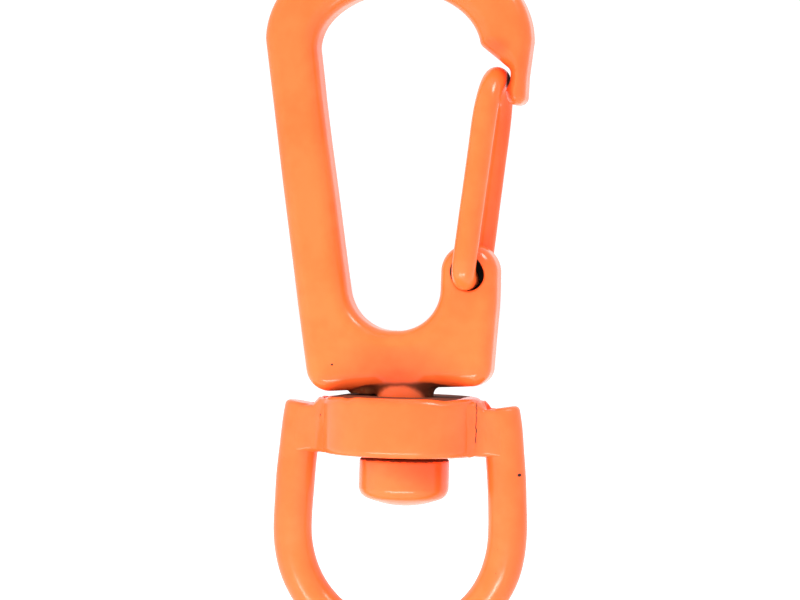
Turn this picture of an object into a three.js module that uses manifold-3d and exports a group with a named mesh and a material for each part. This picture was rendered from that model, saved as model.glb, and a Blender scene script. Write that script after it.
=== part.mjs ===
// Swivel snap hook with a wire gate, painted orange.
// Millimetres, +Z up. X runs across the hook, Y through its thickness.
// The pieces are drawn around the swivel: its axis is X = STUD_X, Y = 0, and Z = 0 is the collar's top.
// The exported group then moves the whole hook so that its origin is the seat, the highest point
// inside the hook's arch, which a rail or ring bears on.
import * as THREE from 'three';
import { mergeVertices } from 'three/addons/utils/BufferGeometryUtils.js';
import Module from 'manifold-3d';

const wasm = await Module();
wasm.setup();

// ---- driving dimensions -------------------------------------------------------------------------

// hook body: a flat casting with rounded edges
const HOOK_THICKNESS = 6.0;
const HOOK_EDGE = { depth: 0.9, width: 0.5 }; // its rounded edges, in from the face and from the side
const SEAT = { x: -1.2, z: 47.5 }; // highest point inside the arch
const ARCH_OUTER = { x: -1.33, z: 41.7, rx: 15.8, rz: 11.9 }; // half ellipse over the arch
const ARCH_INNER = { x: SEAT.x, z: 40.65, rx: 9.9, rz: SEAT.z - 40.65 };
const UNDERSIDE = { height: 0.82, slope: 0.072 }; // height over the swivel axis, and its rise along X

// boss under the hook body, which squares off its sloping underside for the stud
const BOSS = { bottom: 0.5, top: 3.6, bottomRadius: 3.55, topRadius: 2.9 };

// swivel stud
const STUD_X = 0.2; // the swivel's axis, a little to the right of the hook's own middle
const NECK_RADIUS = 3.3;
const SHANK = { radius: 2.0, top: 5.2 };
const BUTTON = { radius: 5.3, top: -7.32, bottom: -12.95, edge: 1.9, topEdge: 0.5 };
const FIXED_GAP = 0.05; // between pieces that are fixed together

// swivel collar
const EYE_X = -0.1; // the eye hangs a little to the left
const COLLAR = { radius: 9.5, bore: 3.75, height: 6.95, edge: 0.7, boreEdge: 0.35 };

// eye bow: a round bar bent to a U, standing on both sides of the collar
const BAR_RADIUS = 2.3;
const BOW = { legTop: -1.1, legTopX: 11.92, legFootX: 12.92, bendZ: -16.2 };

// weld beads in the grooves between the collar and the bow's legs
const BEAD = { top: -1.0, bottom: -6.85, reach: 2.6 };

// gate: one piece of spring wire
const WIRE_RADIUS = 1.4;
const GATE_HALF_WIDTH = 4.55; // from the middle plane to the centre of each leg
const GATE_FRONT_END = { x: 7.55, z: 13.86 };
const GATE_REAR_END = { x: 7.92, z: 14.86 };
const GATE_TOP = { x: 10.42, z: 37.45 }; // centre of the wire at the top of its bight
const GATE_SKEW = 0.1; // how far each leg leans off from the middle of the bight
const GATE_BEND = 1.75; // radius of the bends into the pivot holes
const GATE_END_DEPTH = 2.1; // how far each end goes into the ear

// pivot holes: two blind holes, a little apart, so that opening the gate twists the wire
const PIVOT_RADIUS = 1.95;
const PIVOT_DEPTH = 2.4;
const FRONT_HOLE = { x: 8.0, z: 14.1 };
const REAR_HOLE = { x: 7.72, z: 14.76 };

// fineness
const ARC_STEP = 15; // degrees of a corner to one edge of the hook's outline
const HALF_ARCH_EDGES = 11;
const LATHE_SIDES = 40;
const BAR_SIDES = 14;
const WIRE_SIDES = 10;

// ---- materials ----------------------------------------------------------------------------------

const paint = { color: 0xff8d50, roughness: 0.34, metalness: 0.0 };
const wornPaint = { color: 0xf7834a, roughness: 0.4, metalness: 0.05 };

function finish(look) {
  return new THREE.MeshStandardMaterial(look);
}

// ---- helpers ------------------------------------------------------------------------------------

function solid(geometry) {
  const bare = geometry.index ? geometry.toNonIndexed() : geometry.clone();
  bare.deleteAttribute('normal');
  bare.deleteAttribute('uv');
  const merged = mergeVertices(bare, 1e-4);
  return new wasm.Manifold(new wasm.Mesh({
    numProp: 3,
    vertProperties: new Float32Array(merged.attributes.position.array),
    triVerts: new Uint32Array(merged.index.array),
  }));
}

function geometryOf(body) {
  const mesh = body.getMesh();
  const geometry = new THREE.BufferGeometry();
  geometry.setAttribute('position', new THREE.BufferAttribute(new Float32Array(mesh.vertProperties), 3));
  geometry.setIndex(new THREE.BufferAttribute(new Uint32Array(mesh.triVerts), 1));
  geometry.computeVertexNormals();
  return geometry;
}

// Adds a corner of a given radius to a path, coming from one point and leaving for the next.
function addCorner(path, from, corner, to) {
  const at = new THREE.Vector2(corner[0], corner[1]);
  const back = new THREE.Vector2(from[0], from[1]).sub(at).normalize();
  const on = new THREE.Vector2(to[0], to[1]).sub(at).normalize();
  const radius = corner[2];
  const half = Math.acos(THREE.MathUtils.clamp(back.dot(on), -1, 1)) / 2;
  const reach = radius / Math.tan(half);
  const start = at.clone().addScaledVector(back, reach);
  const centre = back.clone().add(on).normalize().multiplyScalar(radius / Math.sin(half)).add(at);
  const turn = Math.sign(on.cross(back)) * (Math.PI - 2 * half);
  const steps = Math.ceil(Math.abs(turn) / THREE.MathUtils.degToRad(ARC_STEP));
  for (let i = 0; i <= steps; i += 1) {
    const spoke = start.clone().sub(centre).rotateAround(new THREE.Vector2(), turn * i / steps);
    path.lineTo(centre.x + spoke.x, centre.y + spoke.y);
  }
}

// Turns a profile in the X, Z plane about the Z axis.
function turned(profile) {
  const points = profile.map(([radius, height]) => new THREE.Vector2(radius, height));
  const geometry = new THREE.LatheGeometry(points, LATHE_SIDES);
  geometry.rotateX(Math.PI / 2);
  return geometry;
}

// Moves a turned piece onto the stud's axis.
function onStud(geometry) {
  return geometry.translate(STUD_X, 0, 0);
}

// A quarter circle of profile points about a centre, both angles in degrees.
function quarter(x, z, radius, from, to, steps = 4) {
  const points = [];
  for (let i = 0; i <= steps; i += 1) {
    const angle = THREE.MathUtils.degToRad(from + (to - from) * i / steps);
    points.push([x + radius * Math.cos(angle), z + radius * Math.sin(angle)]);
  }
  return points;
}

// A round rod along Y, from one depth to another.
function rodAlongY(x, z, radius, y0, y1, sides = 32) {
  const geometry = new THREE.CylinderGeometry(radius, radius, y1 - y0, sides);
  geometry.translate(x, (y0 + y1) / 2, z);
  return geometry;
}

// A rod of round section along a curve.
function rodAlong(curve, radius, sides, steps) {
  const section = new THREE.Shape();
  for (let i = 0; i < sides; i += 1) {
    const angle = 2 * Math.PI * i / sides;
    const point = [radius * Math.cos(angle), radius * Math.sin(angle)];
    if (i === 0) {
      section.moveTo(...point);
    } else {
      section.lineTo(...point);
    }
  }
  return new THREE.ExtrudeGeometry(section, { steps, bevelEnabled: false, extrudePath: curve });
}

// ---- hook body ----------------------------------------------------------------------------------

function underside(x) {
  return UNDERSIDE.height + UNDERSIDE.slope * x;
}

// Corners of the outline's straight runs: [x, z, corner radius].
const BASE_LEFT = [-10.95, underside(-10.95), 2.3];
const SPINE_WAIST = [-12.6, 10.6, 30];
const BASE_RIGHT = [10.4, underside(10.4), 2.2];
const EAR_FOOT = [11.1, 11.0, 20];
const EAR_TOP_RIGHT = [11.05, 17.85, 3.2];
const EAR_TOP_LEFT = [4.6, 17.85, 3.1];
const EAR_INSIDE = [4.5, 7.5, 5.2];
const OPENING_FOOT = [-6.1, 7.5, 5.6];
const SPINE_INSIDE = [-10.35, 34.9, 40];
const NOSE_SHOULDER = [13.72, 37.6, 6];
const NOSE_TIP_RIGHT = [13.6, 34.3, 1.0];
const NOSE_TIP_LEFT = [11.7, 34.3, 0.7];
const NOTCH_LIP = [12.42, 37.75, 1.0];
const NOTCH_TOP = [8.6, 41.15, 1.0];

function pathThrough(path, start, corners, end) {
  corners.forEach((corner, i) => {
    const from = i === 0 ? start : corners[i - 1];
    const to = i === corners.length - 1 ? end : corners[i + 1];
    addCorner(path, from, corner, to);
  });
  path.lineTo(end[0], end[1]);
}

function hookOutline() {
  const outer = ARCH_OUTER;
  const inner = ARCH_INNER;
  const outerLeft = [outer.x - outer.rx, outer.z];
  const outerRight = [outer.x + outer.rx, outer.z];
  const innerLeft = [inner.x - inner.rx, inner.z];
  const noseAngle = 0.16; // where the inner ellipse meets the nose, in radians above its centre line
  const innerRight = [
    inner.x + inner.rx * Math.cos(noseAngle),
    inner.z + inner.rz * Math.sin(noseAngle),
  ];
  const outline = new THREE.Shape();
  outline.moveTo(outerRight[0], outerRight[1]);
  outline.absellipse(outer.x, outer.z, outer.rx, outer.rz, 0, Math.PI, false, 0);
  pathThrough(outline, outerLeft, [SPINE_WAIST, BASE_LEFT, BASE_RIGHT, EAR_FOOT, EAR_TOP_RIGHT,
    EAR_TOP_LEFT, EAR_INSIDE, OPENING_FOOT, SPINE_INSIDE], innerLeft);
  outline.absellipse(inner.x, inner.z, inner.rx, inner.rz, Math.PI, noseAngle, true, 0);
  pathThrough(outline, innerRight, [NOTCH_TOP, NOTCH_LIP, NOSE_TIP_LEFT, NOSE_TIP_RIGHT,
    NOSE_SHOULDER], outerRight);
  return outline;
}

function hookPlate() {
  const geometry = new THREE.ExtrudeGeometry(hookOutline(), {
    depth: HOOK_THICKNESS - 2 * HOOK_EDGE.depth,
    curveSegments: HALF_ARCH_EDGES,
    bevelEnabled: true,
    bevelThickness: HOOK_EDGE.depth,
    bevelSize: HOOK_EDGE.width,
    bevelOffset: -HOOK_EDGE.width,
    bevelSegments: 2,
  });
  geometry.translate(0, 0, HOOK_EDGE.depth - HOOK_THICKNESS / 2);
  geometry.rotateX(Math.PI / 2);
  return geometry;
}

function hookBody() {
  const boss = onStud(turned([
    [0, BOSS.bottom],
    [BOSS.bottomRadius - 0.25, BOSS.bottom],
    [BOSS.bottomRadius, BOSS.bottom + 0.25],
    [BOSS.topRadius, BOSS.top],
    [0, BOSS.top],
  ]));
  const shankBore = onStud(turned([
    [0, BOSS.bottom - 1],
    [SHANK.radius + FIXED_GAP, BOSS.bottom - 1],
    [SHANK.radius + FIXED_GAP, SHANK.top + FIXED_GAP],
    [0, SHANK.top + FIXED_GAP],
  ]));
  const face = HOOK_THICKNESS / 2;
  const frontHole = rodAlongY(FRONT_HOLE.x, FRONT_HOLE.z, PIVOT_RADIUS, -face - 1, PIVOT_DEPTH - face);
  const rearHole = rodAlongY(REAR_HOLE.x, REAR_HOLE.z, PIVOT_RADIUS, face - PIVOT_DEPTH, face + 1);
  return geometryOf(solid(hookPlate())
    .add(solid(boss))
    .subtract(solid(shankBore))
    .subtract(solid(frontHole))
    .subtract(solid(rearHole)));
}

// ---- swivel stud --------------------------------------------------------------------------------

function swivelStud() {
  const { radius, top, bottom, edge, topEdge } = BUTTON;
  const shoulder = BOSS.bottom - FIXED_GAP;
  return onStud(turned([
    [0, bottom],
    ...quarter(radius - edge, bottom + edge, edge, -90, 0, 5),
    ...quarter(radius - topEdge, top - topEdge, topEdge, 0, 90, 3),
    [NECK_RADIUS, top],
    [NECK_RADIUS, shoulder],
    [SHANK.radius, shoulder],
    [SHANK.radius, SHANK.top - 0.4],
    [SHANK.radius - 0.4, SHANK.top],
    [0, SHANK.top],
  ]));
}

// ---- swivel collar ------------------------------------------------------------------------------

function swivelCollar() {
  const { radius, bore, height, edge, boreEdge } = COLLAR;
  const profile = [
    [bore, -height + boreEdge],
    [bore + boreEdge, -height],
    ...quarter(radius - edge, -height + edge, edge, -90, 0, 4),
    ...quarter(radius - edge, -edge, edge, 0, 90, 4),
    [bore + boreEdge, 0],
    [bore, -boreEdge],
  ];
  profile.push(profile[0]);
  return turned(profile);
}

// ---- eye bow ------------------------------------------------------------------------------------

function bowPath() {
  const { legTop, legTopX, legFootX, bendZ } = BOW;
  const points = [];
  const legSteps = 4;
  const bendSteps = 12;
  for (let i = 0; i < legSteps; i += 1) {
    const share = i / legSteps;
    const x = THREE.MathUtils.lerp(legTopX, legFootX, Math.sin(share * Math.PI / 2));
    points.push(new THREE.Vector3(-x, 0, THREE.MathUtils.lerp(legTop, bendZ, share)));
  }
  for (let i = 0; i <= bendSteps; i += 1) {
    const angle = Math.PI + Math.PI * i / bendSteps;
    points.push(new THREE.Vector3(legFootX * Math.cos(angle), 0, bendZ + legFootX * Math.sin(angle)));
  }
  for (let i = legSteps - 1; i >= 0; i -= 1) {
    points.push(new THREE.Vector3(-points[i].x, 0, points[i].z));
  }
  return new THREE.CatmullRomCurve3(points);
}

function eyeBow() {
  return rodAlong(bowPath(), BAR_RADIUS, BAR_SIDES, 56);
}

// ---- weld beads ---------------------------------------------------------------------------------

// The groove between the collar and a leg, filled on one side and cut clear of both.
function weldBead(sideX, sideY) {
  const { top, bottom, reach } = BEAD;
  const section = new THREE.Shape();
  section.moveTo(8.2, 0.9);
  section.lineTo(11.9, 0.9);
  section.lineTo(12.0, reach - 0.35);
  section.quadraticCurveTo(10.1, reach - 0.1, 8.75, 3.75);
  section.closePath();
  const block = new THREE.ExtrudeGeometry(section, {
    depth: top - bottom,
    curveSegments: 5,
    bevelEnabled: false,
  });
  block.translate(0, 0, bottom);
  if (sideX < 0) {
    block.rotateZ(Math.PI);
  }
  if (sideX * sideY < 0) {
    block.rotateX(Math.PI);
    block.translate(0, 0, top + bottom);
  }
  const aroundCollar = turned([
    [0, -COLLAR.height - 1],
    [COLLAR.radius + FIXED_GAP, -COLLAR.height - 1],
    [COLLAR.radius + FIXED_GAP, 1],
    [0, 1],
  ]);
  const aroundBar = rodAlong(bowPath(), BAR_RADIUS + FIXED_GAP, BAR_SIDES, 56);
  return geometryOf(solid(block).subtract(solid(aroundCollar)).subtract(solid(aroundBar)));
}

// ---- gate ---------------------------------------------------------------------------------------

// Points of one leg, from its end in the ear to the foot of the bight.
function gateLeg(end, side, topX) {
  const face = HOOK_THICKNESS / 2;
  const lean = (topX - end.x) / (GATE_TOP.z - end.z);
  const bendStart = GATE_HALF_WIDTH - GATE_BEND;
  const points = [
    [end.x, side * (face - GATE_END_DEPTH), end.z],
    [end.x, side * (face - GATE_END_DEPTH / 2), end.z],
    [end.x, side * bendStart, end.z],
  ];
  for (let i = 1; i <= 4; i += 1) {
    const angle = Math.PI / 2 * i / 4;
    const rise = GATE_BEND * (1 - Math.cos(angle));
    points.push([
      end.x + lean * rise,
      side * (bendStart + GATE_BEND * Math.sin(angle)),
      end.z + rise,
    ]);
  }
  const legFoot = end.z + GATE_BEND;
  const legTop = GATE_TOP.z - GATE_HALF_WIDTH;
  for (let i = 1; i <= 4; i += 1) {
    const z = THREE.MathUtils.lerp(legFoot, legTop, i / 4);
    points.push([end.x + lean * (z - end.z), side * GATE_HALF_WIDTH, z]);
  }
  return points.map((point) => new THREE.Vector3(...point));
}

function gatePath() {
  const rear = gateLeg(GATE_REAR_END, 1, GATE_TOP.x + GATE_SKEW);
  const front = gateLeg(GATE_FRONT_END, -1, GATE_TOP.x - GATE_SKEW);
  const rearTop = rear[rear.length - 1];
  const frontTop = front[front.length - 1];
  const bight = [];
  const steps = 8;
  for (let i = 1; i < steps; i += 1) {
    const angle = Math.PI * i / steps;
    const across = (1 - Math.cos(angle)) / 2;
    const rise = Math.sin(angle);
    const footX = THREE.MathUtils.lerp(rearTop.x, frontTop.x, across);
    bight.push(new THREE.Vector3(
      THREE.MathUtils.lerp(footX, GATE_TOP.x, rise),
      GATE_HALF_WIDTH * Math.cos(angle),
      rearTop.z + GATE_HALF_WIDTH * rise,
    ));
  }
  return new THREE.CatmullRomCurve3([...rear, ...bight, ...front.reverse()]);
}

function gateWire() {
  return rodAlong(gatePath(), WIRE_RADIUS, WIRE_SIDES, 120);
}

// ---- the hook -----------------------------------------------------------------------------------

function named(name, geometry, look) {
  const mesh = new THREE.Mesh(geometry, finish(look));
  mesh.name = name;
  return mesh;
}

const hook = new THREE.Group();
hook.add(named('hook_body', hookBody(), paint));
hook.add(named('swivel_stud', swivelStud(), wornPaint));

const gate = new THREE.Group();
gate.add(named('gate_wire', gateWire(), paint));

const eye = new THREE.Group();
eye.position.x = EYE_X;
eye.add(named('swivel_collar', swivelCollar(), paint));
eye.add(named('eye_bow', eyeBow(), paint));
for (const [sideName, sideX] of [['left', -1], ['right', 1]]) {
  for (const [faceName, sideY] of [['front', -1], ['rear', 1]]) {
    eye.add(named(`weld_${sideName}_${faceName}`, weldBead(sideX, sideY), wornPaint));
  }
}

const snapHook = new THREE.Group();
snapHook.add(hook, gate, eye);
snapHook.position.set(-SEAT.x, 0, -SEAT.z);

export default snapHook;
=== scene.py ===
"""Looks of the swivel snap hook: a painted casting, a wire gate, a headed stud and a welded eye."""
import math

import bpy
import numpy as np
from mathutils import Matrix, Vector


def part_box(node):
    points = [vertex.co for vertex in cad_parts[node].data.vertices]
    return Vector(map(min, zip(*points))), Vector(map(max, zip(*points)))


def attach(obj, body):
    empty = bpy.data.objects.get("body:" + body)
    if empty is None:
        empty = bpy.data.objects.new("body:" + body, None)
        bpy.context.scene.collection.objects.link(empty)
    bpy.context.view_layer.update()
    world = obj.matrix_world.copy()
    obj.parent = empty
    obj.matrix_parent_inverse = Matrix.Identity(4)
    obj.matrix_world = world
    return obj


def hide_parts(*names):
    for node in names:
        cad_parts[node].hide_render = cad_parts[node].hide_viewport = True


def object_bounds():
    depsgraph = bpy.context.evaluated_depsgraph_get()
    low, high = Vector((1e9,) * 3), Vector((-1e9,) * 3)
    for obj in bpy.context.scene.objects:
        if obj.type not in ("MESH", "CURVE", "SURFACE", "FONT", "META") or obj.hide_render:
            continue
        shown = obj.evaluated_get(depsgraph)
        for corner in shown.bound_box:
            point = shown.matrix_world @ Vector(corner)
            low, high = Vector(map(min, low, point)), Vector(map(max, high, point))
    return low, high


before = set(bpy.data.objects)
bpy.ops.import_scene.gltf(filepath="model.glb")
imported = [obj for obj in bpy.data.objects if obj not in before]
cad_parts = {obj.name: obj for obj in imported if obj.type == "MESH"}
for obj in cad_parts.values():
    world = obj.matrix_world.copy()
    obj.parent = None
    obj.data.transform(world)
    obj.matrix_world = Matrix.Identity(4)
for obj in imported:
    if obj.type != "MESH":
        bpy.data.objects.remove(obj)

CAD_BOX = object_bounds()

# ---- driving dimensions, in millimetres ----------------------------------------------------------
# Shapes are drawn around the swivel, like the CAD part: Z = 0 is the top of the collar.
# The frame's own zero is the seat inside the arch, so each finished mesh moves by SEAT.

MM = 0.001
SEAT = np.array([-1.2, 0.0, 47.5])

HOOK_THICKNESS = 6.0
HOOK_EDGE = 1.9
# The casting's skin stands out by the swell and wanders by the unevenness.
HOOK_SKIN = dict(swell=0.1, unevenness=0.03, hump=9)
ARCH_OUTER = dict(x=-1.33, z=41.7, rx=15.8, rz=11.9)
ARCH_INNER = dict(x=SEAT[0], z=40.65, rx=9.9, rz=SEAT[2] - 40.65)
NOSE_ANGLE = 0.16
UNDERSIDE = dict(height=0.95, slope=0.061)
BOSS = dict(bottom=-0.5, radius=3.4, height=2.5, fillet=0.9, edge=0.12, shoulder=0.8)
PAD = dict(x=-4.3, y=0.4, long=2.3, wide=2.4, bottom=0.1, top=1.4, fillet=0.3, edge=0.25, shoulder=0.5)
PAD_SKIN = dict(roughness=0.04, hump=1.1)
# The ear's two pivot holes: x, z, and the side that each opens on, which is -1 for the front.
PIVOT_HOLES = [(7.93, 14.38, -1), (7.72, 14.76, 1)]
PIVOT_RADIUS = 1.87
PIVOT_DEPTH = 2.4
PIVOT_EDGE = 0.2

SHANK = dict(radius=2.0, top=5.2, chamfer=0.3)
SHANK_GAP = 0.05
NECK_RADIUS = 3.3
NECK_INTO_BOSS = 0.15
# The points of the fillet at the neck's foot: how far out and how far up.
NECK_FILLET = [(0.4, 0.0), (0.1, 0.03), (0.0, 0.15)]
BUTTON = dict(corner=1.5, turn=68, top_edge=0.45, below_collar=0.37)
# How far the stud stands to the right of its CAD solid.
STUD_SHIFT = 0.12

COLLAR_BORE = 3.75
COLLAR_EDGE = 0.85
BORE_EDGE = 0.4
# How far the collar stays inside the CAD's box, which leaves room for its unevenness.
COLLAR_INSET = dict(side=0.03, bottom=0.02, top=0.05)
# Shallow dips in the collar's front rim: x, width, depth.
RIM_DIPS = [(-5.1, 0.7, 0.24), (-6.9, 1.1, 0.16), (6.2, 1.1, 0.24)]
# The top falls away at its left end. Falls and dips fade below the top, and dips inside the rim.
RIM_FALL = dict(depth=0.5, long=2.9)
RIM = dict(inner=6.5, wide=2.5, high=2.5)
EYE_X = -0.1
BAR_RADIUS = 2.3
BAR_END_EDGE = 0.6
BOW = dict(leg_top=-1.1, leg_top_x=11.78, leg_foot_x=12.92, bend_z=-16.2)
BEAD = dict(top=-0.4, end_top=-1.25, bottom=-6.85, blend=3.8, overlap=0.35, edge=0.5, split=0.4)
# The weld sinks in where it is far from both ring and bar. Its top slopes down away from the ring.
BEAD_SINK = dict(depth=0.14, start=1.6, long=2)
BEAD_SLOPE = dict(start=1, long=0.7)
BEAD_SKIN = dict(unevenness=0.03, hump=2.5, end_unevenness=0.08, end_hump=1.6)
BEAD_ROOM = dict(x=(8.2, 12.6), y=(0.3, 5.0))

WIRE_RADIUS = 1.4
WIRE_END_EDGE = 0.2
GATE_HALF_WIDTH = 4.55
GATE_FRONT_END = (7.55, 13.86)
GATE_REAR_END = (8.02, 14.86)
GATE_TOP = (10.42, 37.45)
# How far the legs' tops are left and right of the bight's: the front leg's to the left.
GATE_SKEW = 0.1
GATE_BEND = 1.75
GATE_END_DEPTH = 1.9

# How far the skin of each piece wanders, the size of its humps, and their seed.
UNEVEN = dict(wire=(0.015, 5, 2), button=(0.03, 6, 3), bar=(0.03, 8, 4), collar=(0.02, 5, 8))
WAVE_COUNT = 7

# The size of the nets' cells, and the number of sides round each turned or drawn shape.
HOOK_CELL = 0.22
BEAD_CELL = 0.12
STUD_SIDES = 96
COLLAR_SIDES = 240
BAR_SIDES = 40
WIRE_SIDES = 28

# How finely the wire's and the bar's paths are drawn.
WIRE_BEND_STEPS = 8
BIGHT_STEPS = 24
LEG_STEPS = 12
BOW_BEND_STEPS = 48
WIRE_PATH = dict(gap=0.3, rounds=12)
BAR_PATH = dict(gap=0.5, rounds=8)
# The points of the bow's path, from its top, that a bead can reach.
BEAD_LEG_POINTS = 8


def underside(x):
    """The height of the hook's sloping underside."""
    return UNDERSIDE["height"] + UNDERSIDE["slope"] * x


# Corners of the hook's outline between its two arches: x, z, radius.
SPINE_AND_EAR = [
    (-12.6, 10.6, 30),
    (-10.95, underside(-10.95), 2.7),
    (10.4, underside(10.4), 2.2),
    (11.1, 11.0, 20),
    (11.05, 17.85, 3.2),
    (4.6, 17.85, 3.1),
    (4.5, 7.5, 5.2),
    (-6.1, 7.5, 5.6),
    (-10.35, 34.9, 40),
]
NOSE = [
    (8.6, 41.3, 1.0),
    (12.28, 38.4, 0.9),
    (12.25, 37.1, 0.6),
    (11.72, 35.9, 0.7),
    (12.0, 34.35, 1.0),
    (13.85, 34.35, 0.95),
    (13.95, 37.6, 6),
]


def drawn(node):
    """A CAD node's lowest and highest corners, in the drawing's millimetres."""
    low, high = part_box(node)
    return np.array(low) / MM + SEAT, np.array(high) / MM + SEAT


# ---- fields: signed distances in millimetres, negative inside -----------------------------------


def smooth_min(a, b, k):
    """The nearer of two shapes, with the inner corner between them filled over a width of k."""
    h = np.clip(0.5 + 0.5 * (b - a) / k, 0, 1)
    return b + (a - b) * h - k * h * (1 - h)


def smooth_max(a, b, k):
    """What two shapes share, with the corner between them rounded over a width of k."""
    return -smooth_min(-a, -b, k)


def rounded_edge(a, b, radius):
    """The part that is inside both a and b, with the edge between them rounded."""
    a, b = a + radius, b + radius
    return np.minimum(np.maximum(a, b), 0) + np.hypot(np.maximum(a, 0), np.maximum(b, 0)) - radius


def waves(x, y, z, size, seed):
    """Gentle unevenness between about -1 and 1, with humps of about the given size."""
    random = np.random.default_rng(seed)
    total = 0
    for direction in random.normal(size=(WAVE_COUNT, 3)):
        per_mm = 2 * math.pi / size * random.uniform(0.6, 1.4)
        a, b, c = direction / np.linalg.norm(direction) * per_mm
        total = total + np.sin(x * a + y * b + z * c + random.uniform(0, 6.3))
    return total / (WAVE_COUNT / 2)


def rounded_corner(before, corner, after, step=math.radians(4)):
    """Points of the arc that rounds a corner of an outline."""
    at = np.array(corner[:2], float)
    back = np.array(before[:2], float) - at
    on = np.array(after[:2], float) - at
    back, on = back / np.linalg.norm(back), on / np.linalg.norm(on)
    half = math.acos(np.clip(back @ on, -1, 1)) / 2
    radius = corner[2]
    start = at + back * radius / math.tan(half)
    middle = back + on
    centre = at + middle / np.linalg.norm(middle) * radius / math.sin(half)
    turn = math.copysign(math.pi - 2 * half, on[0] * back[1] - on[1] * back[0])
    spoke = start - centre
    points = []
    steps = max(2, math.ceil(abs(turn) / step))
    for i in range(steps + 1):
        angle = turn * i / steps
        c, s = math.cos(angle), math.sin(angle)
        points.append(centre + [spoke[0] * c - spoke[1] * s, spoke[0] * s + spoke[1] * c])
    return points


def ellipse(shape, start, end, steps=90):
    """Points along an ellipse, from one angle to another."""
    return [
        np.array([shape["x"] + shape["rx"] * math.cos(a), shape["z"] + shape["rz"] * math.sin(a)])
        for a in np.linspace(start, end, steps)
    ]


def hook_outline():
    """The closed outline of the hook's face: arch, spine, base, ear and nose."""
    over = ellipse(ARCH_OUTER, 0, math.pi)
    under = ellipse(ARCH_INNER, math.pi, NOSE_ANGLE)
    spine_and_ear = rounded_chain(over[-1], SPINE_AND_EAR, under[0])
    nose = rounded_chain(under[-1], NOSE, over[0])
    return np.array(over + spine_and_ear + under + nose)


def rounded_chain(first, corners, last):
    """The arcs of all the corners between two points of an outline."""
    chain = [first, *corners, last]
    points = []
    for before, corner, after in zip(chain, chain[1:], chain[2:]):
        points += rounded_corner(before, corner, after)
    return points


def outline_column(outline, x, zs):
    """The signed distances from a closed outline at one x and several heights."""
    starts, ends = outline, np.roll(outline, -1, 0)
    along = ends - starts
    keep = (along**2).sum(1) > 1e-12
    starts, ends, along = starts[keep], ends[keep], along[keep]
    point = np.stack([np.full(len(zs), x), zs], -1)[:, None]
    share = ((point - starts) * along).sum(-1) / (along**2).sum(-1)
    away = point - starts - np.clip(share, 0, 1)[..., None] * along
    nearest = np.sqrt((away**2).sum(-1)).min(1)
    spans = (starts[:, 1] > zs[:, None]) != (ends[:, 1] > zs[:, None])
    with np.errstate(divide="ignore", invalid="ignore"):
        crossing = starts[:, 0] + (zs[:, None] - starts[:, 1]) / along[:, 1] * along[:, 0]
    inside = (spans & (crossing > x)).sum(1) % 2 == 1
    return np.where(inside, -nearest, nearest)


def outline_field(outline, cell=0.12, margin=2.0):
    """A function of x and z: the signed distance from a closed outline, read from a fine grid."""
    low = outline.min(0) - margin
    counts = np.ceil((outline.max(0) + margin - low) / cell).astype(int) + 1
    xs, zs = (low[i] + np.arange(counts[i]) * cell for i in range(2))
    grid = np.stack([outline_column(outline, x, zs) for x in xs])

    def distance(x, z):
        """The distance at a place, mixed from the grid's four points around it."""
        i = np.clip((x - low[0]) / cell, 0, counts[0] - 1.001)
        k = np.clip((z - low[1]) / cell, 0, counts[1] - 1.001)
        i0, k0 = i.astype(int), k.astype(int)
        i1, k1 = i - i0, k - k0
        near = grid[i0, k0] * (1 - k1) + grid[i0, k0 + 1] * k1
        far = grid[i0 + 1, k0] * (1 - k1) + grid[i0 + 1, k0 + 1] * k1
        return near * (1 - i1) + far * i1

    return distance


# ---- meshes ---------------------------------------------------------------------------------------


GRID_STEPS = np.eye(3, dtype=int)


def net(field, low, high, cell):
    """Points and four-sided faces of the surface where a field is zero."""
    sides = [np.arange(a - 2 * cell, b + 3 * cell, cell) for a, b in zip(low, high)]
    origin = np.array([side[0] for side in sides])
    value = field(*np.meshgrid(*sides, indexing="ij"))
    total, count = crossings(value)
    active = count > 0
    points = (np.argwhere(active) + total[active] / count[active][:, None]) * cell + origin
    number = np.full(count.shape, -1)
    number[active] = np.arange(len(points))
    return settle(points, field, cell), net_faces(value < 0, number)


def crossings(value):
    """For each cell of a grid, where its edges cross zero: the sum of the places, and how many."""
    cells = np.array(value.shape) - 1
    total = np.zeros((*cells, 3))
    count = np.zeros(cells, int)
    for axis, step in enumerate(GRID_STEPS):
        u, v = GRID_STEPS[(axis + 1) % 3], GRID_STEPS[(axis + 2) % 3]
        for offset in (u * 0, u, v, u + v):
            a, b = block(value, offset, cells), block(value, offset + step, cells)
            crossed = (a < 0) != (b < 0)
            share = a[crossed] / (a[crossed] - b[crossed])
            total[crossed] += offset + share[:, None] * step
            count[crossed] += 1
    return total, count


def net_faces(inside, number):
    """A face for each edge of the grid that crosses zero. It joins the four cells round the edge."""
    faces = []
    for axis, step in enumerate(GRID_STEPS):
        u, v = GRID_STEPS[(axis + 1) % 3], GRID_STEPS[(axis + 2) % 3]
        at = np.argwhere(block(inside, u * 0, number.shape) != block(inside, step, number.shape))
        at = at[(at >= u + v).all(1)]
        ring = np.stack([number[tuple((at - back).T)] for back in (u + v, v, u * 0, u)], -1)
        leaving = inside[tuple(at.T)]
        faces.append(np.where(leaving[:, None], ring, ring[:, ::-1]))
    return np.concatenate(faces)


def block(array, offset, counts):
    """The block of a grid that starts at an offset and has the given counts."""
    return array[tuple(slice(o, o + n) for o, n in zip(offset, counts))]


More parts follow.
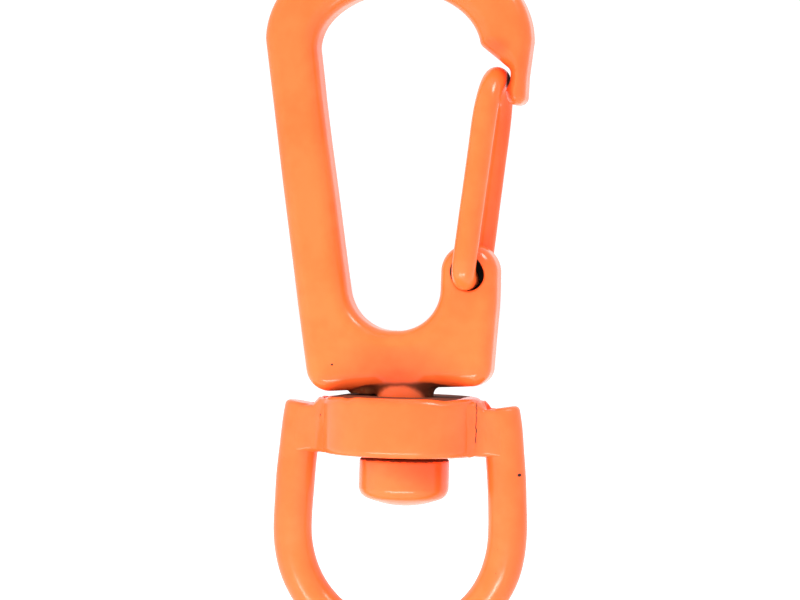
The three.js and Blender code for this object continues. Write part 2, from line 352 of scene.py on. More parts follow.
def settle(points, field, cell, rounds=3, h=0.02):
    """Moves points onto the surface where a field is zero."""
    for _ in range(rounds):
        slope = [
            (field(*(points + h * side).T) - field(*(points - h * side).T)) / (2 * h)
            for side in np.eye(3)
        ]
        slope = np.stack(slope, -1)
        steep = np.maximum((slope**2).sum(-1), 0.3)
        step = np.clip(field(*points.T) / steep, -0.5 * cell, 0.5 * cell)
        points = points - step[:, None] * slope
    return points


def turned(profile, sides, centre_x):
    """Rings of points: each (radius, height) of a profile, turned about an upright axis."""
    angles = [2 * math.pi * i / sides for i in range(sides)]
    return [
        [centre_x + radius * math.cos(angle), radius * math.sin(angle), height]
        for radius, height in profile
        for angle in angles
    ]


def lathe(profile, sides, centre_x):
    """Points and faces of a solid turned from a profile that starts and ends on the axis."""
    ends = [[centre_x, 0, profile[end][1]] for end in (0, -1)]
    points = [ends[0], *turned(profile[1:-1], sides, centre_x), ends[1]]
    return np.array(points), capped(len(profile) - 2, sides)


def ring_lathe(profile, sides, centre_x):
    """Points and faces of a ring turned from a closed profile."""
    return np.array(turned(profile, sides, centre_x)), bands(len(profile), sides, closed=True)


def capped(rings, sides):
    """Faces of rings of points that lie between a first and a last single point."""
    last = 1 + rings * sides
    faces = bands(rings, sides, first=1)
    for i in range(sides):
        j = (i + 1) % sides
        faces.append([0, 1 + j, 1 + i])
        faces.append([last, last - sides + i, last - sides + j])
    return faces


def bands(rings, sides, first=0, closed=False):
    """Faces between rings of points."""
    faces = []
    for r in range(rings if closed else rings - 1):
        a, b = first + r * sides, first + (r + 1) % rings * sides
        for i in range(sides):
            j = (i + 1) % sides
            faces.append([a + i, a + j, b + j, b + i])
    return faces


def spaced(points, gap):
    """The same path with its points an even distance apart."""
    lengths = np.r_[0, np.cumsum(np.linalg.norm(np.diff(points, axis=0), axis=1))]
    count = int(lengths[-1] / gap) + 1
    at = np.linspace(0, lengths[-1], count)
    return np.stack([np.interp(at, lengths, points[:, i]) for i in range(3)], -1)


def smooth_path(points, gap, rounds):
    """An even path with its small kinks relaxed away and its ends kept."""
    path = spaced(points, gap)
    for _ in range(rounds):
        path[1:-1] = 0.5 * path[1:-1] + 0.25 * (path[:-2] + path[2:])
    return spaced(path, gap)


def rod(path, radius, sides, end_edge):
    """Points and faces of a round rod along a path, with flat ends and rounded end edges."""
    along = np.gradient(path, axis=0)
    along /= np.linalg.norm(along, axis=1)[:, None]
    side = np.cross(along[0], [0.3, 0.9, 0.2])
    side /= np.linalg.norm(side)
    rings = []
    for point, forward in zip(path, along):
        side = side - forward * (side @ forward)
        side /= np.linalg.norm(side)
        rings.append((point, forward, side, radius))
    rings = rod_end(rings[0], -1, end_edge)[::-1] + rings + rod_end(rings[-1], 1, end_edge)
    points = [rings[0][0]]
    for point, forward, side, size in rings:
        other = np.cross(forward, side)
        for i in range(sides):
            angle = 2 * math.pi * i / sides
            points.append(point + size * (math.cos(angle) * side + math.sin(angle) * other))
    points.append(rings[-1][0])
    return np.array(points), capped(len(rings), sides)


def rod_end(ring, sign, edge, steps=5):
    """The rings that round the edge of a rod's end and close in over its flat face."""
    point, forward, side, radius = ring
    outwards = forward * sign
    rings = []
    for k in range(1, steps + 1):
        angle = math.pi / 2 * k / steps
        size = radius - edge * (1 - math.cos(angle))
        rings.append((point + outwards * edge * math.sin(angle), forward, side, size))
    for share in (0.6, 0.25):
        rings.append((point + outwards * edge, forward, side, (radius - edge) * share))
    return rings


def uneven(points, centre, amount, size, seed):
    """Points pushed gently in or out from a centre line or point."""
    outwards = points - centre
    outwards = outwards / np.maximum(np.linalg.norm(outwards, axis=1), 1e-6)[:, None]
    return points + outwards * (amount * waves(*points.T, size, seed))[:, None]


def nearest_of(path, points):
    """For each point, the nearest point of a path."""
    return path[np.linalg.norm(points[:, None] - path[None], axis=2).argmin(1)]


def arc(centre_r, centre_z, radius, start, turn, steps):
    """Points of an arc in a profile, from a start angle and through a turn."""
    angles = [start + turn * i / steps for i in range(steps + 1)]
    return [(centre_r + radius * math.cos(a), centre_z + radius * math.sin(a)) for a in angles]


def between(a, b, steps):
    """Even points of a profile between two points, without the two."""
    shares = [i / steps for i in range(1, steps)]
    return [(a[0] + (b[0] - a[0]) * share, a[1] + (b[1] - a[1]) * share) for share in shares]


def piece(name, shape, body, node, material):
    """Makes a mesh in the frame, puts it on its body and lets it stand for its CAD node."""
    points, faces = shape
    mesh = bpy.data.meshes.new(name)
    mesh.from_pydata(((points - SEAT) * MM).tolist(), [], [list(map(int, face)) for face in faces])
    mesh.shade_smooth()
    mesh.materials.append(material)
    made = bpy.data.objects.new(name, mesh)
    bpy.context.scene.collection.objects.link(made)
    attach(made, body)
    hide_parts(node)
    return made


# ---- the pieces -----------------------------------------------------------------------------------


def hook_casting():
    """The casting: its outline given a thickness, with the boss, the pad, pivot holes and bore."""
    flat = outline_field(hook_outline())
    low, high = drawn("hook_body")
    stud_low, stud_high = drawn("swivel_stud")
    stud_x = (stud_low[0] + stud_high[0]) / 2

    def field(x, y, z):
        from_stud = np.hypot(x - stud_x, y)
        across = np.abs(y) - HOOK_THICKNESS / 2 + HOOK_SKIN["unevenness"]
        body = rounded_edge(flat(x, z) - HOOK_SKIN["swell"], across, HOOK_EDGE)
        body = body + HOOK_SKIN["unevenness"] * waves(x, y, z, HOOK_SKIN["hump"], seed=1)
        body = smooth_min(body, boss(from_stud, z), BOSS["fillet"])
        body = smooth_min(body, pad(x, y, z), PAD["fillet"])
        for hole_x, hole_z, side in PIVOT_HOLES:
            hole = np.hypot(x - hole_x, z - hole_z) - PIVOT_RADIUS
            floor = HOOK_THICKNESS / 2 - PIVOT_DEPTH - side * y
            body = smooth_max(body, -np.maximum(hole, floor), PIVOT_EDGE)
        bore = np.maximum(from_stud - SHANK["radius"], z - SHANK["top"]) - SHANK_GAP
        return np.maximum(body, -bore)

    return net(field, low, high, HOOK_CELL)


def boss(from_stud, z):
    """The round boss under the hook, which the stud enters."""
    post = rounded_edge(from_stud - BOSS["radius"], BOSS["bottom"] - z, BOSS["edge"])
    return smooth_max(post, z - BOSS["bottom"] - BOSS["height"], BOSS["shoulder"])


def pad(x, y, z):
    """The rough lump under the hook, to the left of the boss."""
    around = np.hypot((x - PAD["x"]) / PAD["long"], (y - PAD["y"]) / PAD["wide"])
    rough = PAD_SKIN["roughness"] * waves(x, y, z, PAD_SKIN["hump"], seed=7)
    wall = (around - 1) * PAD["long"] + 2 * rough
    lump = rounded_edge(wall, PAD["bottom"] - z + rough, PAD["edge"])
    return smooth_max(lump, z - PAD["top"], PAD["shoulder"])


def gate_leg(end, side, top_x):
    """One leg of the gate, from its end inside the ear, round the bend and up to the bight."""
    lean = (top_x - end[0]) / (GATE_TOP[1] - end[1])
    bend_start = GATE_HALF_WIDTH - GATE_BEND
    points = [[end[0], side * (HOOK_THICKNESS / 2 - GATE_END_DEPTH), end[1]]]
    for i in range(WIRE_BEND_STEPS + 1):
        angle = math.pi / 2 * i / WIRE_BEND_STEPS
        rise = GATE_BEND * (1 - math.cos(angle))
        reach = bend_start + GATE_BEND * math.sin(angle)
        points.append([end[0] + lean * rise, side * reach, end[1] + rise])
    top_z = GATE_TOP[1] - GATE_HALF_WIDTH
    points.append([end[0] + lean * (top_z - end[1]), side * GATE_HALF_WIDTH, top_z])
    return points


def wire_gate():
    """The bent wire: both legs, and the bight that joins them at the top."""
    rear = gate_leg(GATE_REAR_END, 1, GATE_TOP[0] + GATE_SKEW)
    front = gate_leg(GATE_FRONT_END, -1, GATE_TOP[0] - GATE_SKEW)
    bight = []
    for i in range(1, BIGHT_STEPS):
        angle = math.pi * i / BIGHT_STEPS
        foot_x = rear[-1][0] + (front[-1][0] - rear[-1][0]) * (1 - math.cos(angle)) / 2
        x = foot_x + (GATE_TOP[0] - foot_x) * math.sin(angle)
        z = rear[-1][2] + GATE_HALF_WIDTH * math.sin(angle)
        bight.append([x, GATE_HALF_WIDTH * math.cos(angle), z])
    path = smooth_path(np.array(rear + bight + front[::-1]), **WIRE_PATH)
    points, faces = rod(path, WIRE_RADIUS, WIRE_SIDES, WIRE_END_EDGE)
    return uneven(points, nearest_of(path, points), *UNEVEN["wire"]), faces


def stud():
    """The turned stud. Its button has a shallow domed face and a rounded corner below."""
    low, high = drawn("swivel_stud")
    centre_x = (low[0] + high[0]) / 2 + STUD_SHIFT
    radius = (high[0] - low[0]) / 2
    bottom = low[2]
    top = drawn("swivel_collar")[0][2] - BUTTON["below_collar"]
    corner, edge, turn = BUTTON["corner"], BUTTON["top_edge"], math.radians(BUTTON["turn"])
    dome = (radius - corner * (1 - math.cos(turn))) / math.cos(turn)
    side_foot = bottom + dome * (1 - math.sin(turn)) + corner * math.sin(turn)
    profile = arc(0, bottom + dome, dome, -math.pi / 2, math.pi / 2 - turn, 16)
    profile += arc(radius - corner, side_foot, corner, -turn, turn, 14)[1:]
    profile += between((radius, side_foot), (radius, top - edge), 6)
    profile += arc(radius - edge, top - edge, edge, 0, math.pi / 2, 6)
    profile += neck_and_shank(top)
    points, faces = lathe(profile, STUD_SIDES, centre_x)
    axis = points * [0, 0, 1] + [centre_x, 0, 0]
    on_button = points[:, 2:] < top
    return np.where(on_button, uneven(points, axis, *UNEVEN["button"]), points), faces


def neck_and_shank(foot):
    """The profile of the stud above its button, from the neck's foot to the shank's top."""
    shoulder = BOSS["bottom"] + NECK_INTO_BOSS
    shank, top, chamfer = SHANK["radius"], SHANK["top"], SHANK["chamfer"]
    profile = [(NECK_RADIUS + out, foot + up) for out, up in NECK_FILLET]
    profile += between((NECK_RADIUS, foot), (NECK_RADIUS, shoulder), 13)
    profile += [(NECK_RADIUS - 0.1, shoulder), (shank, shoulder)]
    return profile + [(shank, top - chamfer), (shank - chamfer, top), (0, top)]


def collar():
    """The collar: its profile runs from the bore's lower edge out, up, in and down again."""
    low, high = drawn("swivel_collar")
    centre_x = (low[0] + high[0]) / 2
    radius = (high[0] - low[0]) / 2 - COLLAR_INSET["side"]
    bottom, top = low[2] + COLLAR_INSET["bottom"], high[2] - COLLAR_INSET["top"]
    quarter_turn = math.pi / 2
    inner, outer = COLLAR_BORE + BORE_EDGE, radius - COLLAR_EDGE
    profile = arc(inner, bottom + BORE_EDGE, BORE_EDGE, math.pi, quarter_turn, 5)
    profile += between((inner, bottom), (outer, bottom), 4)
    profile += arc(outer, bottom + COLLAR_EDGE, COLLAR_EDGE, -quarter_turn, quarter_turn, 8)
    profile += between((radius, bottom + COLLAR_EDGE), (radius, top - COLLAR_EDGE), 12)
    profile += arc(outer, top - COLLAR_EDGE, COLLAR_EDGE, 0, quarter_turn, 8)
    profile += between((outer, top), (inner, top), 5)
    profile += arc(inner, top - BORE_EDGE, BORE_EDGE, quarter_turn, quarter_turn, 5)
    profile += between((COLLAR_BORE, top - BORE_EDGE), (COLLAR_BORE, bottom + BORE_EDGE), 6)
    points, faces = ring_lathe(profile, COLLAR_SIDES, centre_x)
    points = lowered_rim(points, top, radius, centre_x)
    return uneven(points, points * [0, 0, 1] + [centre_x, 0, 0], *UNEVEN["collar"]), faces


def lowered_rim(points, top, radius, centre_x):
    """The collar's top falls away at its left end, and its front rim has shallow dips."""
    x, y, z = points.T
    from_end = x - (centre_x - radius)
    fall = RIM_FALL["depth"] * np.clip(1 - from_end / RIM_FALL["long"], 0, 1) ** 1.5
    outer = np.clip((np.hypot(x - centre_x, y) - RIM["inner"]) / RIM["wide"], 0, 1)
    for dip_x, width, depth in RIM_DIPS:
        fall = fall + outer * np.clip(-y / 2, 0, 1) * depth * np.exp(-(((x - dip_x) / width) ** 2))
    near_top = np.clip(1 + (z - top) / RIM["high"], 0, 1) ** 2
    return points - np.outer(near_top * fall, [0, 0, 1])


def bow_path():
    """The middle line of the bow's bar: down the left leg, round the bend and up the right leg."""
    top_x, foot_x, bend_z = BOW["leg_top_x"], BOW["leg_foot_x"], BOW["bend_z"]
    leg = []
    for i in range(LEG_STEPS):
        share = i / LEG_STEPS
        x = top_x + (foot_x - top_x) * math.sin(share * math.pi / 2)
        leg.append([-x, 0, BOW["leg_top"] + (bend_z - BOW["leg_top"]) * share])
    angles = np.linspace(math.pi, 2 * math.pi, BOW_BEND_STEPS + 1)
    bend = [[foot_x * math.cos(a), 0, bend_z + foot_x * math.sin(a)] for a in angles]
    other_leg = [[-x, y, z] for x, y, z in leg[::-1]]
    return np.array(leg + bend + other_leg) + [EYE_X, 0, 0]


def bow():
    """The bent bar. Its ends are cut square, with their edges rounded."""
    path = bow_path()
    path[[0, -1], 2] -= BAR_END_EDGE
    path = smooth_path(path, **BAR_PATH)
    points, faces = rod(path, BAR_RADIUS, BAR_SIDES, BAR_END_EDGE)
    return uneven(points, nearest_of(path, points), *UNEVEN["bar"]), faces


def bar_distance(x, y, z, path):
    """The signed distance from the round bar along a path."""
    points = np.stack([x, y, z], -1).reshape(-1, 3)
    nearest = np.full(len(points), np.inf)
    for a, b in zip(path, path[1:]):
        share = np.clip((points - a) @ (b - a) / ((b - a) @ (b - a)), 0, 1)
        nearest = np.minimum(nearest, np.linalg.norm(points - a - share[:, None] * (b - a), axis=1))
    return nearest.reshape(np.shape(x)) - BAR_RADIUS


def bead(side_x, side_y):
    """The fillet of weld between the collar and one leg, on one side, blended into both."""
    leg = bow_path()[:BEAD_LEG_POINTS]
    if side_x > 0:
        leg = leg * [-1, 1, 1] + [2 * EYE_X, 0, 0]
    collar_low, collar_high = drawn("swivel_collar")
    radius = (collar_high[0] - collar_low[0]) / 2

    def field(x, y, z):
        ring = np.hypot(x - EYE_X, y) - radius
        bar = bar_distance(x, y, z, leg)
        rough = BEAD_SKIN["unevenness"] * waves(x, y, z, BEAD_SKIN["hump"], seed=5)
        end_rough = BEAD_SKIN["end_unevenness"] * waves(x, y, z, BEAD_SKIN["end_hump"], seed=6)
        sink = np.clip((np.maximum(ring, bar) - BEAD_SINK["start"]) / BEAD_SINK["long"], 0, 1) ** 2
        slope = np.clip((BEAD_SLOPE["start"] - ring) / BEAD_SLOPE["long"], 0, 1)
        blend = smooth_min(ring, bar, BEAD["blend"]) + rough + BEAD_SINK["depth"] * sink
        top = BEAD["end_top"] + (BEAD["top"] - BEAD["end_top"]) * slope
        ends = np.maximum(z - top, BEAD["bottom"] - z) + end_rough
        body = smooth_max(blend, ends, BEAD["edge"])
        skin = -BEAD["overlap"] - np.minimum(ring, bar)
        return np.maximum(np.maximum(body, skin), BEAD["split"] - side_y * y)

    across = sorted(side_x * x + EYE_X for x in BEAD_ROOM["x"])
    depth = sorted(side_y * y for y in BEAD_ROOM["y"])
    low = [across[0], depth[0], BEAD["bottom"]]
    high = [across[1], depth[1], BEAD["top"]]
    return net(field, low, high, BEAD_CELL)


# ---- materials ------------------------------------------------------------------------------------


class Nodes:
    """A material's node tree, with one short call for each node."""

    def __init__(self, name):
        self.material = bpy.data.materials.new(name)
        self.material.use_nodes = True
        self.tree = self.material.node_tree
        self.shader = self.tree.nodes["Principled BSDF"]
        self.place = self.add("ShaderNodeTexCoord").outputs["Object"]
        self.mm = self.millimetres()

    def add(self, kind, **settings):
        """A new node, with its settings."""
        node = self.tree.nodes.new(kind)
        for key, value in settings.items():
            setattr(node, key, value)
        return node

    def put(self, value, socket):
        """Sets a socket to a constant, or links another node's output to it."""
        if isinstance(value, bpy.types.NodeSocket):
            self.tree.links.new(value, socket)
        else:
            socket.default_value = value

    def noise(self, size_mm, detail=3.0):
        """Noise between 0 and 1, with humps of about the given size."""
        node = self.add("ShaderNodeTexNoise")
        self.put(self.place, node.inputs["Vector"])
        node.inputs["Scale"].default_value = 1 / (size_mm * MM)
        node.inputs["Detail"].default_value = detail
        return node.outputs["Fac"]

    def math(self, operation, a, b=0.0, c=0.0):
        """The result of a math node."""
        node = self.add("ShaderNodeMath", operation=operation)
        for value, socket in zip((a, b, c), node.inputs):
            self.put(value, socket)
        return node.outputs[0]

    def ramp(self, value, low, high, to_low=0.0, to_high=1.0):
        """A smooth step: to_low where the value is under low, to_high where it is over high."""
        node = self.add("ShaderNodeMapRange", interpolation_type="SMOOTHSTEP")
        for item, socket in zip((value, low, high, to_low, to_high), node.inputs):
            self.put(item, socket)
        return node.outputs[0]

    def mix(self, share, a, b):
        """Colour a, with a share of colour b."""
        node = self.add("ShaderNodeMix", data_type="RGBA")
        self.put(share, node.inputs[0])
        self.put(a, node.inputs[6])
        self.put(b, node.inputs[7])
        return node.outputs[2]

    def bump(self, height, distance_mm, strength, below=None):
        """A normal that makes the height show as relief, on top of the relief below it."""
        node = self.add("ShaderNodeBump")
        node.inputs["Distance"].default_value = distance_mm * MM
        node.inputs["Strength"].default_value = strength
        self.put(height, node.inputs["Height"])
        if below is not None:
            self.put(below, node.inputs["Normal"])
        return node.outputs["Normal"]

    def millimetres(self):
        """The drawing's x, y and z at each point of the surface."""
        node = self.add("ShaderNodeSeparateXYZ")
        self.put(self.place, node.inputs[0])
        return {
            axis: self.math("MULTIPLY_ADD", output, 1 / MM, float(shift))
            for axis, output, shift in zip("xyz", node.outputs, SEAT)
        }


# ---- paint: colours are linear, and lengths are in millimetres -----------------------------------

PAINT_SHEEN = 0.3
# How near two surfaces are in a corner that gets painted shade, the shaded orange.
CORNER_REACH = 2.5
HOOK_ORANGE = ((0.95, 0.121, 0.0223, 1), (0.97, 0.141, 0.0297, 1))
GATE_ORANGE = ((0.95, 0.126, 0.0235, 1), (0.97, 0.147, 0.031, 1))
EYE_ORANGE = ((0.95, 0.106, 0.021, 1), (0.97, 0.123, 0.028, 1))
# Painted shade: this orange stands for the paint in shade, in corners, on the gate's rear leg and in
# the shade ovals.
ORANGE_PAINTED_SHADE = (0.66, 0.066, 0.013, 1)
BARE_STEEL = (0.13, 0.034, 0.009, 1)
# DARK_BROWN is for fine specks, bare metal, and painted shade in the dark gaps.
DARK_BROWN = (0.12, 0.017, 0.002, 1)
# NEAR_BLACK is for pinholes and the crack, and for painted shade inside holes and beside the nose.
NEAR_BLACK = (0.006, 0.003, 0.002, 1)

# Soft ovals: centre, width over height, where they start and end fading, share, and uneven edge.
NECK_OVAL = dict(x=0.13, z=-0.4, wide=1.68, near=1.0, far=2.15, share=1.0, fray=0.17, grain=1.2)
# The low and nose ovals are painted shade on the hook's face.
LOW_PAINTED_SHADE = dict(x=-0.2, z=1.0, wide=1.5, near=0.6, far=3.1, share=0.95, fray=0.3, grain=3.0)
NOSE_PAINTED_SHADE = dict(x=10.9, z=41.0, wide=1.6, near=0.1, far=1.5, share=0.6, fray=0.3, grain=1.5)
# The button's oval is a painted shadow under the collar.
BUTTON_PAINTED_SHADE = dict(x=3.2, z=-8.2, wide=1.67, near=0.3, far=3.2, share=0.8, fray=0.3, grain=2.0)

# Pinholes on the front: x, z, radius.
BASE_PINHOLE = (-8.0, 3.5, 0.16)
BEAD_PINHOLE = (-9.1, -2.4, 0.12)
BOW_PINHOLE = (14.3, -8.8, 0.24)
# The crack is upright. Its place across is along a line that slants to the front.
CRACK = dict(place=8.72, low=-5.4, high=-0.3, width=0.07)
SLANT = 0.2


def powder_coat(name, tones, dark=None, holes=None, deep=None):
    """Glossy powder coat. dark gives the share of bare metal with painted shade in gaps, holes the
    share of near-black pinholes, cracks and painted shade, and deep the share of painted shade.
    """
    n = Nodes(name)
    mottle = n.noise(1.6, 3.0)
    colour = paint_colour(n, tones, mottle, deep)
    rough = n.ramp(mottle, 0.3, 0.7, 0.17, 0.24)
    peel = n.noise(0.6, 2.0)
    swell = n.noise(3.2, 2.0)
    n.put(PAINT_SHEEN, n.shader.inputs["Specular IOR Level"])
    if dark:
        # The dark share: a dark brown edge, which is painted shade in the gaps, that runs into bare
        # steel.
        share = dark(n)
        grain = n.noise(0.35, 4.0)
        colour = n.mix(n.ramp(share, 0.1, 0.5), colour, DARK_BROWN)
        bare = n.ramp(share, 0.5, 0.9)
        colour = n.mix(bare, colour, n.mix(n.ramp(grain, 0.35, 0.7), DARK_BROWN, BARE_STEEL))
        rough = n.math("ADD", rough, n.math("MULTIPLY", n.ramp(share, 0.1, 0.6), 0.78))
        peel = n.math("ADD", peel, n.math("MULTIPLY", n.math("MULTIPLY", grain, bare), 2.5))
    if holes:
        # Near-black pinholes and cracks, and painted shade inside the pivot holes and beside the nose.
        share = holes(n)
        colour = n.mix(share, colour, NEAR_BLACK)
        rough = n.math("ADD", rough, n.math("MULTIPLY", share, 0.5))
        swell = n.math("SUBTRACT", swell, share)
    height = n.bump(swell, 0.05, 0.5)
    height = n.bump(peel, 0.012, 0.6, height)
    n.put(colour, n.shader.inputs["Base Color"])
    n.put(rough, n.shader.inputs["Roughness"])
    n.put(height, n.shader.inputs["Normal"])
    return n.material


def paint_colour(n, tones, mottle, deep):
    """Two mottled tones, with painted shade in corners and where deep says so, and a few fine dark
    specks.
    """
    patches = n.noise(7.0, 2.0)
    tone = n.math("ADD", n.math("MULTIPLY", patches, 0.65), n.math("MULTIPLY", mottle, 0.35))
    colour = n.mix(n.ramp(tone, 0.36, 0.64), *tones)
    # Painted shade in corners: where ambient occlusion finds near surfaces, some shaded orange.
    occlusion = n.add("ShaderNodeAmbientOcclusion", samples=6)
    occlusion.inputs["Distance"].default_value = CORNER_REACH * MM
    shut_in = n.ramp(occlusion.outputs["AO"], 0.35, 0.95, 1.0, 0.0)
    colour = n.mix(n.math("MULTIPLY", shut_in, 0.2), colour, ORANGE_PAINTED_SHADE)
    if deep:
        colour = n.mix(deep(n), colour, ORANGE_PAINTED_SHADE)
    specks = n.ramp(n.noise(0.42, 1.0), 0.80, 0.84)
    return n.mix(n.math("MULTIPLY", specks, 0.5), colour, DARK_BROWN)


def joined(n, operation, shares):
    """Several shares taken together by one operation."""
    total = shares[0]
    for share in shares[1:]:
        total = n.math(operation, total, share)
    return total


def all_of(n, *shares):
    """The smallest of several shares."""
    return joined(n, "MINIMUM", shares)


def any_of(n, *shares):
    """The largest of several shares."""
    return joined(n, "MAXIMUM", shares)


def away_from(n, x, z, axis_a="x", axis_b="z", wide=1.0):
    """Millimetres from a line square to two axes. With wide over 1, the first axis counts for less."""
    a = n.math("DIVIDE", n.math("SUBTRACT", n.mm[axis_a], x), wide)
    b = n.math("SUBTRACT", n.mm[axis_b], z)
    return n.math("SQRT", n.math("ADD", n.math("MULTIPLY", a, a), n.math("MULTIPLY", b, b)))


def frayed(n, value, amount, size):
    """A value with uneven edges: it wanders by the amount, in humps of the size."""
    wander = n.math("SUBTRACT", n.noise(size, 3.0), 0.5)
    return n.math("ADD", value, n.math("MULTIPLY", wander, 2 * amount))


def oval(n, x, z, wide, near, far, share, fray, grain):
    """The share of a soft oval with uneven edges."""
    out = frayed(n, away_from(n, x, z, wide=wide), fray, grain)
    return n.ramp(out, near, far, share, 0.0)


def front(n, low=-0.5, high=0.0):
    """A share that is 1 in front, where Y is under low, and 0 behind, where it is over high."""
    return n.ramp(n.mm["y"], low, high, 1.0, 0.0)


def pinhole(n, x, z, radius):
    """A small round hole on the front."""
    spot = n.ramp(away_from(n, x, z), 0.6 * radius, radius, 1.0, 0.0)
    return all_of(n, spot, front(n))


def slanted(n):
    """The place across, along a line that slants a little to the front."""
    return n.math("ADD", n.mm["x"], n.math("MULTIPLY", n.mm["y"], SLANT))


def crack(n, place, low, high, width):
    """A thin wavy upright crack on the front."""
    across = frayed(n, n.math("SUBTRACT", slanted(n), place), 0.45, 1.5)
    line = n.ramp(n.math("ABSOLUTE", across), width * 0.4, width, 1.0, 0.0)
    foot = n.ramp(n.mm["z"], low, low + 0.5)
    head = n.ramp(n.mm["z"], high - 0.3, high, 1.0, 0.0)
    return all_of(n, line, foot, head, front(n))


def neck_paint(n):
    """The oval of paint on the front of the neck."""
    return all_of(n, oval(n, **NECK_OVAL), front(n, -1.0, -0.5))


def above_underside(n):
    """Millimetres above the hook's underside, with more counted away from the neck."""
    slope = n.math("MULTIPLY", n.mm["x"], UNDERSIDE["slope"])
    above = n.math("SUBTRACT", n.math("SUBTRACT", n.mm["z"], slope), UNDERSIDE["height"])
    from_neck = away_from(n, 0.0, 0.0, "x", "y")
    return n.math("ADD", frayed(n, above, 0.15, 1.2), n.ramp(from_neck, 2.4, 8.0, 0.0, 1.25))


def half_dark_middle(n):
    """The middle of the front, where the bare skin and painted shade under the hook are kept about half
    as dark.
    """
    across = frayed(n, n.mm["x"], 0.3, 1.0)
    share = n.math("MULTIPLY", n.ramp(across, -5.0, -1.8), n.ramp(across, 1.4, 5.4, 1.0, 0.0))
    return n.math("MULTIPLY", share, front(n, -1.6, -1.0))


def under_hook(n):
    """The bare skin around the stud, under the hook, and painted shade in the gap and along the base's
    lower edge. It climbs less away from the neck.
    """
    low = n.ramp(above_underside(n), 0.3, 1.35, 1.0, 0.0)
    share = all_of(n, low, n.math("SUBTRACT", 1.0, neck_paint(n)))
    return n.math("MULTIPLY", share, n.ramp(half_dark_middle(n), 0.0, 1.0, 1.0, 0.48))


def hook_shade(n):
    """Painted shade low on the hook's face above the stud, where the collar keeps light off, and beside
    the nose's slanting edge.
    """
    low = n.math("MULTIPLY", oval(n, **LOW_PAINTED_SHADE), n.ramp(n.mm["z"], 0.8, 1.6, 0.3, 1.0))
    return any_of(n, low, oval(n, **NOSE_PAINTED_SHADE))


def hook_pinhole_and_hole_shade(n):
    """The pinhole low on the face, and painted shade inside both pivot holes."""
    shares = [pinhole(n, *BASE_PINHOLE)]
    for hole_x, hole_z, side in PIVOT_HOLES:
        deep = n.math("MULTIPLY", n.mm["y"], float(side))
        inside = n.ramp(away_from(n, hole_x, hole_z), PIVOT_RADIUS, PIVOT_RADIUS + 0.12, 1.0, 0.0)
        shares.append(all_of(n, inside, n.ramp(deep, 2.5, 2.85, 1.0, 0.0)))
    return any_of(n, *shares)


def gate_bight_shadow(n):
    """A painted shadow on the bight, where it sits in the narrow gap beside the nose."""
    side = n.ramp(frayed(n, slanted(n), 0.06, 0.6), 11.38, 11.62)
    low = n.ramp(frayed(n, n.mm["z"], 0.2, 0.8), 36.2, 36.7)
    high = n.ramp(n.mm["z"], 37.9, 38.5, 1.0, 0.0)
    return all_of(n, side, low, high, front(n, 1.5, 2.6))


def gate_shade(n):
    """Painted shade on the gate's rear leg, which lies in the front leg's shadow."""
    return n.ramp(n.mm["y"], 1.5, 4.0, 0.0, 0.52)


def stud_bare_and_gap_shade(n):
    """The stud's neck, inside the collar, and the edge of its button: bare metal with painted shade in
    the gaps above and below the collar.
    """
    z = frayed(n, n.mm["z"], 0.18, 0.7)
    in_gap = all_of(n, n.ramp(z, -7.62, -7.42), n.ramp(n.mm["z"], 1.0, 1.2, 1.0, 0.0))
    return all_of(n, in_gap, n.math("SUBTRACT", 1.0, neck_paint(n)))


def button_shade(n):
    """A painted shadow at the right of the button's top, under the collar."""
    return oval(n, **BUTTON_PAINTED_SHADE)


def collar_bare_and_shade(n):
    """The collar's top inside its painted rim, and the mouth and wall of its bore: bare metal with
    painted shade under the hook.
    """
    from_axis = frayed(n, away_from(n, EYE_X, 0.0, "x", "y"), 0.25, 1.5)
    right_end = n.ramp(frayed(n, n.mm["x"], 0.4, 1.0), 6.9, 7.5, 1.0, 0.0)
    top = all_of(n, n.ramp(n.mm["z"], -0.95, -0.6), n.ramp(from_axis, 8.4, 8.7, 1.0, 0.0), right_end)
    bore = n.ramp(from_axis, COLLAR_BORE + 0.55, COLLAR_BORE + 0.9, 1.0, 0.0)
    return any_of(n, top, bore)


def collar_cracks(n):
    """The crack beside the right bead and the pinhole in the left one."""
    return any_of(n, crack(n, **CRACK), pinhole(n, *BEAD_PINHOLE))


def bow_soot(n):
    """The pinhole on the right of the bow's bend."""
    return pinhole(n, *BOW_PINHOLE)


# ---- stage ----------------------------------------------------------------------------------------

CAMERA = dict(azimuth=11.5, elevation=0.8, roll=1.25, distance=400.0, lens=153.0)
CAMERA_AIM = np.array([-0.634, 0.0, 11.225])
FLOOR = dict(below=0.004, radius=6.0)


def camera():
    """The camera, turned about the point that it aims at."""
    azimuth, elevation, roll = (math.radians(CAMERA[k]) for k in ("azimuth", "elevation", "roll"))
    back = Vector((
        math.sin(azimuth) * math.cos(elevation),
        -math.cos(azimuth) * math.cos(elevation),
        math.sin(elevation),
    ))
    aim = Vector((CAMERA_AIM - SEAT) * MM)
    data = bpy.data.cameras.new("camera")
    data.lens = CAMERA["lens"]
    data.clip_start = 0.01
    made = bpy.data.objects.new("camera", data)
    turn = back.to_track_quat("Z", "Y").to_matrix() @ Matrix.Rotation(roll, 3, "Z")
    made.matrix_world = Matrix.Translation(aim + back * CAMERA["distance"] * MM) @ turn.to_4x4()
    bpy.context.scene.collection.objects.link(made)
    bpy.context.scene.camera = made


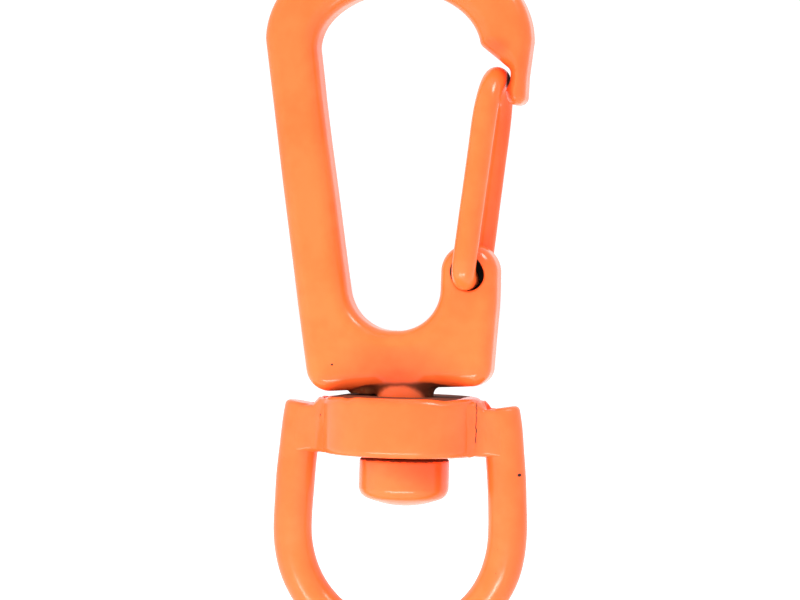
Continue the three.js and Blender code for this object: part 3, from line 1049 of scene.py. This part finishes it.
def area_light(name, place, size, watts, diffuse=True, glossy=True):
    """A light that faces the part. It can be kept out of reflections or out of the plain lighting."""
    data = bpy.data.lights.new(name, "AREA")
    data.shape = "RECTANGLE"
    data.size, data.size_y = size
    data.energy = watts
    made = bpy.data.objects.new(name, data)
    made.visible_diffuse = diffuse
    made.visible_glossy = glossy
    centre = Vector(CAD_BOX[0] + CAD_BOX[1]) / 2
    made.location = place
    made.rotation_mode = "QUATERNION"
    made.rotation_quaternion = (made.location - centre).to_track_quat("Z", "X")
    bpy.context.scene.collection.objects.link(made)


def floor():
    """A pale disc just under the part."""
    low = CAD_BOX[0].z - FLOOR["below"]
    bpy.ops.mesh.primitive_circle_add(
        vertices=96, radius=FLOOR["radius"], fill_type="NGON", location=(0, 0, low)
    )
    made = bpy.context.object
    made.name = "floor"
    n = Nodes("pale_floor")
    colour = n.mix(n.noise(400.0), (0.86, 0.86, 0.86, 1), (0.9, 0.9, 0.9, 1))
    n.put(colour, n.shader.inputs["Base Color"])
    n.shader.inputs["Roughness"].default_value = 0.9
    made.data.materials.append(n.material)


def surroundings(strength):
    """Even white light from all around."""
    world = bpy.data.worlds.new("studio")
    world.use_nodes = True
    background = world.node_tree.nodes["Background"]
    background.inputs["Color"].default_value = (1, 1, 1, 1)
    background.inputs["Strength"].default_value = strength
    bpy.context.scene.world = world
    bpy.context.scene.view_settings.view_transform = "Standard"


camera()
floor()
surroundings(1.15)
area_light("key", (-0.75, -0.75, 0.4), (0.35, 0.35), 6.5, glossy=False)
area_light("low_strip", (0.0, -0.042, -0.081), (0.004, 0.06), 0.024)
area_light("overhead", (0.1, -0.15, 0.8), (0.6, 0.4), 5.0, glossy=False)
area_light("glint", (0.5, -0.16, 0.6), (0.24, 0.24), 4.0, diffuse=False)

casting_coat = powder_coat("casting_coat", HOOK_ORANGE, under_hook, hook_pinhole_and_hole_shade, hook_shade)
wire_coat = powder_coat("wire_coat", GATE_ORANGE, None, gate_bight_shadow, gate_shade)
stud_coat = powder_coat("stud_coat", EYE_ORANGE, stud_bare_and_gap_shade, None, button_shade)
collar_coat = powder_coat("collar_coat", EYE_ORANGE, collar_bare_and_shade, collar_cracks)
bar_coat = powder_coat("bar_coat", EYE_ORANGE, None, bow_soot)
bead_coat = powder_coat("bead_coat", EYE_ORANGE, None, collar_cracks)

piece("hook_casting", hook_casting(), "hook", "hook_body", casting_coat)
piece("wire_gate", wire_gate(), "gate", "gate_wire", wire_coat)
piece("headed_stud", stud(), "hook", "swivel_stud", stud_coat)
piece("collar_ring", collar(), "eye", "swivel_collar", collar_coat)
piece("bar_bow", bow(), "eye", "eye_bow", bar_coat)
for side_name, side_x in (("left", -1), ("right", 1)):
    for face_name, side_y in (("front", -1), ("rear", 1)):
        shape = bead(side_x, side_y)
        where = f"{side_name}_{face_name}"
        piece(f"bead_{where}", shape, "eye", f"weld_{where}", bead_coat)
